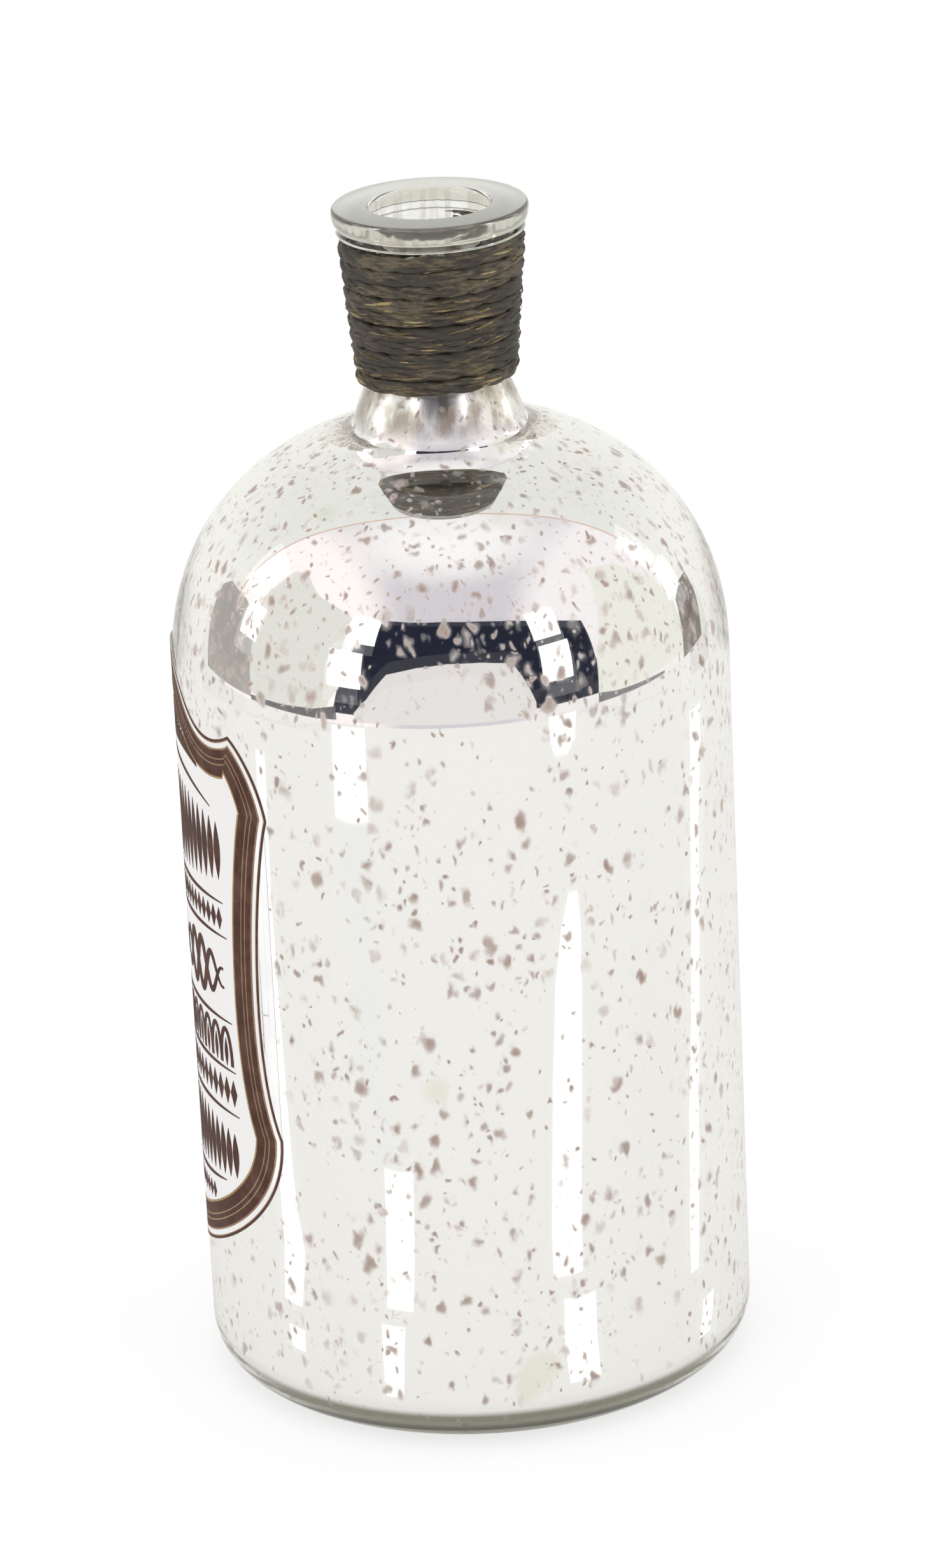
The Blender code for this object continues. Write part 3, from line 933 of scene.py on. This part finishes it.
def label_film_material():
    nodes = Nodes("label_film")
    place = nodes.place()
    haze = nodes.noise(place, 40.0, 3.0)
    nodes.set(Base_Color=nodes.mix(haze, (0.93, 0.925, 0.93), (0.88, 0.87, 0.865)), Metallic=0.55,
              Roughness=nodes.ramp(haze, 0.3, 0.7, 0.12, 0.24), Coat_Weight=0.5, Coat_Roughness=0.05)
    nodes.bump(nodes.noise(place, 300.0), 0.02 * MM, 0.5)
    return nodes.owner


def ink(name, dark, light, metallic, roughness):
    """Printing ink, a little uneven and worn thin in small flecks."""
    nodes = Nodes(name)
    tone = nodes.noise(nodes.place(), 160.0, 4.0, 0.6)
    nodes.set(Base_Color=nodes.mix(nodes.ramp(tone, 0.35, 0.7), dark, light), Metallic=metallic,
              Roughness=nodes.ramp(tone, 0.3, 0.7, roughness, roughness + 0.2), Specular_IOR_Level=0.06)
    nodes.bump(tone, 0.04 * MM, 0.5)
    return nodes.owner


def label_print(outline):
    shapes = []
    numbers = []
    for name, start, end in BORDER_BANDS:
        top = GOLD_LIFT if name == "gold" else PRINT_LIFT
        shapes.append(band(inset(outline, start * MM), inset(outline, end * MM), top))
        numbers.append(list(INKS).index(name))
    ornament = label_ornament()
    numbers += [list(INKS).index("brown")] * len(ornament)
    inks = [ink(name + "_ink", *values) for name, values in INKS.items()]
    print_piece = joined("label_print", shapes + ornament, inks, numbers)
    return print_piece


def label_film(outline):
    """Thin film of the label's outline, cut in narrow upright strips so that it follows the wall."""
    builder = bmesh.new()
    face = builder.faces.new([builder.verts.new((across, 0.0, up)) for across, up in outline])
    bmesh.ops.triangulate(builder, faces=[face])
    cuts = int(LABEL_WIDTH / 2 / LABEL_STRIP)
    for cut in range(-cuts, cuts + 1):
        geometry = builder.verts[:] + builder.edges[:] + builder.faces[:]
        bmesh.ops.bisect_plane(builder, geom=geometry, dist=0.001 * MM,
                               plane_co=(cut * LABEL_STRIP, 0.0, 0.0), plane_no=(1.0, 0.0, 0.0))
    extruded = bmesh.ops.extrude_face_region(builder, geom=builder.faces[:])["geom"]
    for element in extruded:
        if isinstance(element, bmesh.types.BMVert):
            element.co.y = LABEL_LIFT
    for vert in builder.verts:
        vert.co = on_label(vert.co.x, vert.co.z, vert.co.y)
    bmesh.ops.recalc_face_normals(builder, faces=builder.faces)
    builder.verts.index_update()
    verts = [tuple(vert.co) for vert in builder.verts]
    faces = [[vert.index for vert in face.verts] for face in builder.faces]
    builder.free()
    film = mesh_piece("label_film", verts, faces, [label_film_material()])
    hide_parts("label_decal")
    return film


def label():
    outline = label_outline()
    pieces = [label_print(outline), label_film(outline)]
    for piece in pieces:
        # The mirror behind the glass shows the room past the label's edge, not its unlit back
        piece.visible_transmission = False
    return pieces


# Studio, seen from the bottle's shoulder: azimuth 0 is towards the camera and grows towards +X
STUDIO_CENTRE = Vector((0.0, 0.0, 0.22))
LAMP_DISTANCE = 16.0
LAMP_RADIANCE = 2.0
CARD_DISTANCE = 19.0
CARD_LAYER = 0.25
CARD_STEP_DEGREES = 3.0
CARD_ROWS = 12
FLOOR_RADIUS = 0.76
FLOOR_SIDES = 96
FLOOR_GLOW = 0.72
DIFFUSE_LEVEL = 0.86
GLINT_LIFT = 0.4 * MM
WHITE = (1.0, 1.0, 1.0)

# Room in reflections, by direction: axis, where a tone begins, where it is full, and the tone
ROOM_TONE = (0.68, 0.65, 0.71)
ROOM_TONES = (
    ("Z", 0.80, 1.0, (1.02, 1.01, 1.02)),
    ("X", 0.35, 0.62, (0.98, 0.94, 0.97)),
    ("X", -0.30, -0.60, (1.10, 1.02, 1.02)),
    ("Y", 0.332, 0.338, (0.66, 0.42, 0.30)),
)

# Lamps: azimuth and elevation of two opposite corners, in degrees
LAMPS = (
    ("left_low", (-53.5, -4.5), (-38.5, 12.5)),
    ("left_high", (-47.0, 17.5), (-33.5, 32.5)),
    ("right_high", (36.5, 15.5), (50.0, 31.5)),
    ("right_low", (38.0, -5.5), (51.5, 12.0)),
    ("far_left_high", (-112.0, 20.5), (-97.0, 38.0)),
    ("far_left_low", (-101.5, 1.5), (-91.0, 16.5)),
    ("far_right_high", (107.5, 18.0), (116.0, 35.0)),
    ("far_right_low", (110.0, 0.5), (119.5, 15.5)),
)

# Cards: layer from the back, colour, and columns of azimuth, lower and upper elevation
CARDS = (
    ("dark_room", 0, (0.020, 0.022, 0.040),
     ((-51, -14, -13), (-42, -14, 18), (-34, -14, 33), (-18, -14, 33.5), (-2, -14, 34), (15, -14, 32.5),
      (29, -14, 30), (45, -14, 25), (61, -14, 18), (62.5, -14, -0.5), (66, -14, -13))),
    ("pale_sheet", 1, (0.84, 0.81, 0.81),
     ((-42, -16, -13.5), (-36, -16, -8), (-27.5, -16, 3.5), (-15, -16, 7.5), (-2, -16, 9.5), (12, -16, 9),
      (25.5, -16, 6.5), (30, -16, -2.5), (34.5, -16, -12))),
    ("left_panel", 1, (0.80, 0.80, 0.76),
     ((-96, -15, 24), (-95, -15, 40), (-88, -15, 43), (-79, -15, 39.5), (-71, -15, 36.5), (-64, -15, 35.5),
      (-56, -15, 34), (-48, -5, 31))),
    ("right_panel", 1, (0.89, 0.89, 0.83),
     ((63, -15, 0), (66, -15, 6), (68, -15, 12.5), (75, -15, 28), (82.5, -15, 41), (96, -15, 33),
      (107, -15, 12), (114, -15, -8))),
    ("left_shade", 2, (0.42, 0.39, 0.37),
     ((-123, -16, 8), (-119, -16, 13), (-105, -16, 14), (-93, -16, 10.5))),
    ("right_shade", 2, (0.20, 0.17, 0.15),
     ((114, -17, -1.5), (121, -17, 1.5), (128.5, -17, 0), (131, -17, -9))),
    ("left_skirting", 3, (0.14, 0.13, 0.14),
     ((-93, -16.5, -15.5), (-75, -16.5, -15), (-60, -16.5, -14), (-50, -16, -12))),
    ("right_skirting", 3, (0.22, 0.21, 0.22),
     ((63, -16.5, -14), (72, -16.5, -15), (85, -16.5, -15.5), (100, -16.5, -16))),
)

# Lamp glints on the floor: brightness, and rows of the distance from the axis in mm and two azimuths
GLINTS = (
    ("left_top", 1.25, ((740, -50, -36), (550, -50, -36))),
    ("left_faint", 0.9, ((545, -49, -37), (425, -46, -36), (295, -40, -32), (257, -36.5, -28.5))),
    ("left_low", 1.25, ((255, -34, -23), (157, -32, -23))),
    ("left_foot", 1.25, ((146, -33.5, -25.5), (128, -32, -25), (97, -27.5, -22.5))),
    ("far_left", 1.25, ((594, -88, -83), (457, -87, -82.5), (320, -83, -78), (225, -80, -72.5),
                        (177, -75.5, -65.5), (139, -71.5, -63.5))),
    ("far_left_foot", 1.25, ((125, -67.5, -60.5), (112, -63, -57.5))),
    ("right_top", 1.25, ((755, 38, 50), (620, 38, 48.5), (604, 39.5, 45))),
    ("right_long", 1.25, ((472, 42, 46), (440, 38, 46.5), (396, 34.5, 45.5), (318, 31, 43), (248, 28, 39.5),
                          (207, 26, 37.5), (175, 25, 35.5))),
    ("right_foot", 1.25, ((159, 27.5, 39), (133, 25.5, 36.5), (105, 24, 33.5))),
    ("far_right", 1.25, ((588, 111, 120), (472, 107, 113.5), (360, 102, 108), (240, 92, 98.5),
                         (174, 84.5, 90.5), (135, 78, 82.5))),
    ("far_right_foot", 1.25, ((114, 79, 86), (95, 68, 74))),
)


def direction(azimuth, elevation):
    turn, tilt = math.radians(azimuth), math.radians(elevation)
    return Vector((math.sin(turn) * math.cos(tilt), -math.cos(turn) * math.cos(tilt), math.sin(tilt)))


def softbox(name, low, high):
    """Area lamp that fills the window between two corners, seen from the studio's centre."""
    azimuth, elevation = ((a + b) / 2 for a, b in zip(low, high))
    width, height = (2 * LAMP_DISTANCE * math.tan(math.radians(b - a) / 2) for a, b in zip(low, high))
    centre = direction(azimuth, elevation)
    lamp = bpy.data.lights.new(name, "AREA")
    lamp.shape = "RECTANGLE"
    lamp.size = width * math.cos(math.radians(elevation))
    lamp.size_y = height
    lamp.energy = LAMP_RADIANCE * math.pi * lamp.size * lamp.size_y
    holder = bpy.data.objects.new(name, lamp)
    holder.location = STUDIO_CENTRE + centre * LAMP_DISTANCE
    holder.rotation_euler = centre.to_track_quat("Z", "Y").to_euler()
    holder.visible_camera = False
    bpy.context.scene.collection.objects.link(holder)


def glowing(name, verts, faces, colour):
    """Stage piece that shows only in reflections and casts no shadow."""
    nodes = Nodes(name)
    nodes.end(nodes.add("Emission", {"Color": colour, "Strength": 1.0}))
    piece = mesh_piece(name, verts, faces, [nodes.owner])
    piece.visible_camera = False
    piece.visible_diffuse = False
    piece.visible_shadow = False


def card(name, layer, colour, columns):
    """Curved card far off."""
    distance = CARD_DISTANCE - CARD_LAYER * layer
    outline = []
    for first, second in zip(columns, columns[1:]):
        count = max(1, round((second[0] - first[0]) / CARD_STEP_DEGREES))
        outline += [[a + (b - a) * share for a, b in zip(first, second)] for share in steps(count)[:-1]]
    outline.append(columns[-1])
    verts = [STUDIO_CENTRE + direction(azimuth, low + (high - low) * share) * distance
             for azimuth, low, high in outline for share in steps(CARD_ROWS)]
    stride = CARD_ROWS + 1
    corners = [column * stride + up for column in range(len(outline) - 1) for up in range(CARD_ROWS)]
    faces = [(corner, corner + stride, corner + stride + 1, corner + 1) for corner in corners]
    glowing(name, verts, faces, colour)


def glint(name, level, rows):
    lift = Vector((0.0, 0.0, GLINT_LIFT))
    verts = [direction(azimuth, 0.0) * distance * MM + lift for distance, *ends in rows for azimuth in ends]
    faces = [(first, first + 1, first + 3, first + 2) for first in range(0, len(verts) - 2, 2)]
    glowing("glint_" + name, verts, faces, (level,) * 3)


def floor_material():
    """White sheet, toned in reflections. The camera sees it as plain white with the bottle's shadow."""
    nodes = Nodes("white_floor")
    path = nodes.add("LightPath")
    tint = nodes.mix(path.outputs["Is Camera Ray"], (0.835, 0.822, 0.803), WHITE)
    glow = nodes.add("Emission", {"Color": tint, "Strength": FLOOR_GLOW})
    matt = nodes.add("BsdfDiffuse", {"Color": (0.34, 0.34, 0.34)})
    nodes.end(nodes.add("AddShader", {0: glow.outputs[0], 1: matt.outputs[0]}))
    return nodes.owner


def floor():
    """Round sheet under the bottle."""
    rim = [direction(360.0 * share, 0.0) * FLOOR_RADIUS for share in steps(FLOOR_SIDES)[:-1]]
    mesh_piece("studio_floor", rim, [tuple(range(len(rim)))], [floor_material()])


def world():
    """White surround; in reflections the room in front of the bottle has its own tones."""
    nodes = Nodes("studio_world", bpy.data.worlds)
    axes = nodes.axes(nodes.add("TexCoord").outputs["Generated"])
    room = ROOM_TONE
    for axis, start, full, tone in ROOM_TONES:
        room = nodes.mix(nodes.ramp(axes[axis], start, full), room, tone)
    behind = nodes.mix(nodes.ramp(axes["Z"], 0.1, 0.75), (0.95, 0.95, 0.92), (0.84, 0.845, 0.82))
    surround = nodes.mix(nodes.ramp(axes["Y"], 0.343, 0.349), room, behind)
    seen_by = nodes.add("LightPath").outputs
    mirrored = nodes.mix(seen_by["Is Camera Ray"], surround, WHITE)
    bright = nodes.add("Background", {"Color": mirrored})
    plain = nodes.add("Background", {"Color": WHITE, "Strength": DIFFUSE_LEVEL})
    sharp = nodes.math("MAXIMUM", seen_by["Is Camera Ray"], seen_by["Is Glossy Ray"])
    sharp = nodes.math("MAXIMUM", sharp, seen_by["Is Transmission Ray"])
    nodes.end(nodes.add("MixShader", {0: sharp, 1: plain.outputs[0], 2: bright.outputs[0]}))
    bpy.context.scene.world = nodes.owner


def studio():
    floor()
    world()
    for lamp in LAMPS:
        softbox(*lamp)
    for values in CARDS:
        card(*values)
    for values in GLINTS:
        glint(*values)


def camera():
    """Camera with the photograph's tilt, roll and lens."""
    pitch, roll, yaw = (math.radians(value) for value in (CAMERA_PITCH, CAMERA_ROLL, CAMERA_YAW))
    forward = Vector((math.sin(yaw) * math.cos(pitch), math.cos(yaw) * math.cos(pitch), -math.sin(pitch)))
    level = forward.cross(Vector((0.0, 0.0, 1.0))).normalized()
    upward = level.cross(forward)
    right = level * math.cos(roll) + upward * math.sin(roll)
    up = upward * math.cos(roll) - level * math.sin(roll)
    data = bpy.data.cameras.new("camera")
    data.sensor_fit = "VERTICAL"
    data.sensor_height = SENSOR_HEIGHT
    data.lens = CAMERA_LENS
    data.clip_end = CAMERA_FAR
    holder = bpy.data.objects.new("camera", data)
    axes = Matrix((right, up, -forward)).transposed().to_4x4()
    holder.matrix_world = Matrix.Translation((0.0, -CAMERA_DISTANCE, CAMERA_HEIGHT)) @ axes
    bpy.context.scene.collection.objects.link(holder)
    bpy.context.scene.camera = holder


bpy.context.scene.view_settings.view_transform = "Standard"
# The thick glass over the mirror film turns light back several times
bpy.context.scene.cycles.max_bounces = 24
bpy.context.scene.cycles.glossy_bounces = 16
bpy.context.scene.cycles.transmission_bounces = 24
camera()
studio()
for piece in [glass_shell(), silver_film()] + neck_twine() + label():
    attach(piece, "root")
